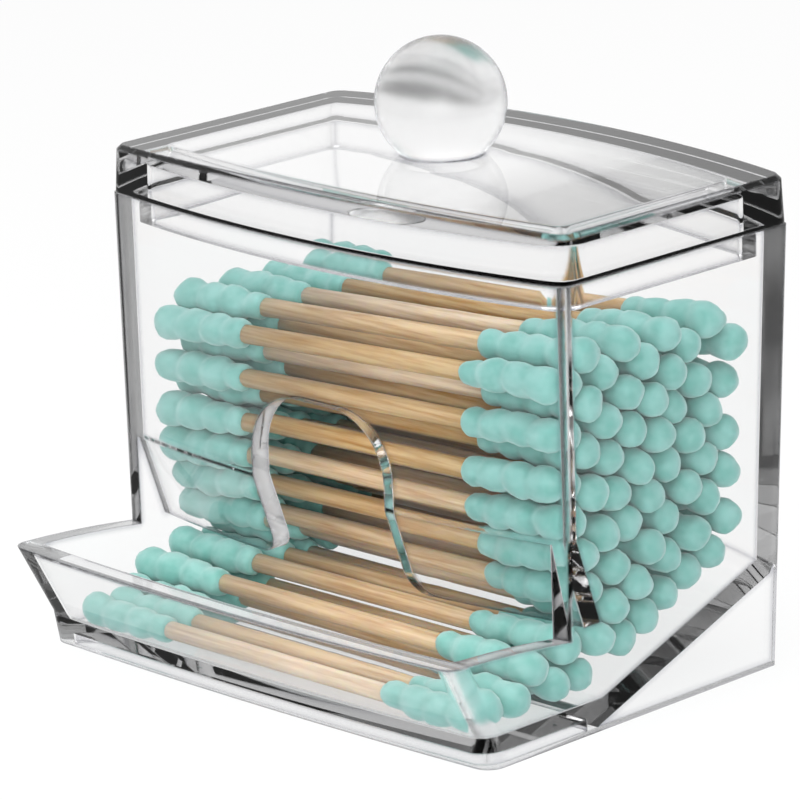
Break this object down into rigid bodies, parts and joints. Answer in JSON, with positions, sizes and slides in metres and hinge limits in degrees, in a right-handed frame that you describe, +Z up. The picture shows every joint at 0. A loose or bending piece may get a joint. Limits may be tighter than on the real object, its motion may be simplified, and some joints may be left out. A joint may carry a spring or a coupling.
{
  "type": "cotton swab holder",
  "caption": "Clear plastic swab holder: bowed hopper with a finger notch and sloping front tray, a lift-off lid with a ball knob, and a fill of wooden cotton swabs.",
  "frame": {"origin": "on the ground, under the middle of the whole object", "axes": "+Z up, the tray faces -Y, +X to the right of someone facing the tray"},
  "size_m": [0.0844, 0.071, 0.0838],
  "materials": {
    "clear_plastic": "clear, polished",
    "stick_wood": "plain, unvarnished",
    "cotton": "mint green cotton, soft"
  },
  "bodies": {
    "holder": {"box": "clear_plastic", "pile_sticks": "stick_wood", "pile_tips": "cotton", "tray_sticks": "stick_wood", "tray_tips": "cotton"},
    "lid": {"lid": "clear_plastic"}
  },
  "joints": [
    {"name": "lid_lift", "type": "slide", "parent": "holder", "child": "lid", "axis": [0, 0, 1], "range_m": [0, 0.05]}
  ]
}
